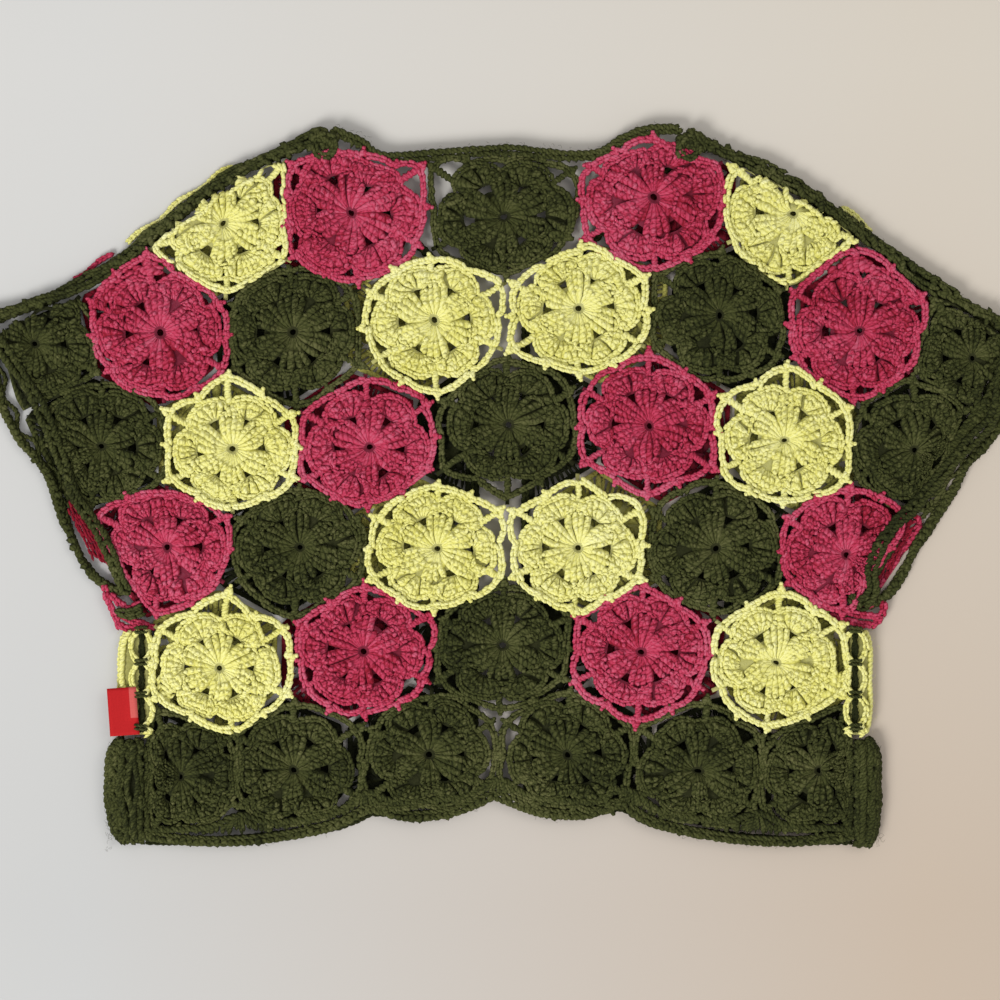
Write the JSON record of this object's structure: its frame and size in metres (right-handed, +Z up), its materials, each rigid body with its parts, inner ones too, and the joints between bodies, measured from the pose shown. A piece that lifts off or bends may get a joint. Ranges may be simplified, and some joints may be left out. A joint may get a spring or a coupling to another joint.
{
  "type": "crochet cardigan",
  "caption": "Open-front child's cardigan of joined hexagonal crochet motifs in green, pink and yellow, with chain borders and cap sleeves, laid flat with its back up.",
  "frame": {"origin": "on the surface the cardigan lies on, below the middle of its box", "axes": "+X across the garment from one sleeve to the other, +Y from the hem to the neck, +Z up, out of the back"},
  "size_m": [0.4644, 0.326, 0.0079],
  "materials": {
    "green_yarn": "matt crocheted yarn",
    "pink_yarn": "matt crocheted yarn",
    "yellow_yarn": "matt crocheted yarn",
    "label_cloth": "satin woven tape"
  },
  "bodies": {
    "root": {"row_1_motif_1": "yellow_yarn", "row_1_motif_2": "pink_yarn", "row_1_motif_3": "green_yarn", "row_1_motif_4": "pink_yarn", "row_1_motif_5": "yellow_yarn", "row_2_motif_1": "green_yarn", "row_2_motif_2": "pink_yarn", "row_2_motif_3": "green_yarn", "row_2_motif_4": "yellow_yarn", "row_2_motif_5": "yellow_yarn", "row_2_motif_6": "green_yarn", "row_2_motif_7": "pink_yarn", "row_2_motif_8": "green_yarn", "row_3_motif_1": "green_yarn", "row_3_motif_2": "yellow_yarn", "row_3_motif_3": "pink_yarn", "row_3_motif_4": "green_yarn", "row_3_motif_5": "pink_yarn", "row_3_motif_6": "yellow_yarn", "row_3_motif_7": "green_yarn", "row_4_motif_1": "pink_yarn", "row_4_motif_2": "green_yarn", "row_4_motif_3": "yellow_yarn", "row_4_motif_4": "yellow_yarn", "row_4_motif_5": "green_yarn", "row_4_motif_6": "pink_yarn", "row_5_motif_1": "yellow_yarn", "row_5_motif_2": "pink_yarn", "row_5_motif_3": "green_yarn", "row_5_motif_4": "pink_yarn", "row_5_motif_5": "yellow_yarn", "row_6_motif_1": "green_yarn", "row_6_motif_2": "green_yarn", "row_6_motif_3": "green_yarn", "row_6_motif_4": "green_yarn", "row_6_motif_5": "green_yarn", "row_6_motif_6": "green_yarn", "neck_border_back": "green_yarn", "hem_border_back": "green_yarn", "front_left": "pink_yarn", "shoulder_seam_left": "green_yarn", "cuff_border_back_left": "green_yarn", "cuff_border_front_left": "green_yarn", "front_border_left": "green_yarn", "side_fold_left": "yellow_yarn", "hem_fold_left": "green_yarn", "side_lacing_left": "green_yarn", "front_right": "pink_yarn", "shoulder_seam_right": "green_yarn", "cuff_border_back_right": "green_yarn", "cuff_border_front_right": "green_yarn", "front_border_right": "green_yarn", "side_fold_right": "yellow_yarn", "hem_fold_right": "green_yarn", "side_lacing_right": "green_yarn", "side_label": "label_cloth"}
  },
  "joints": []
}
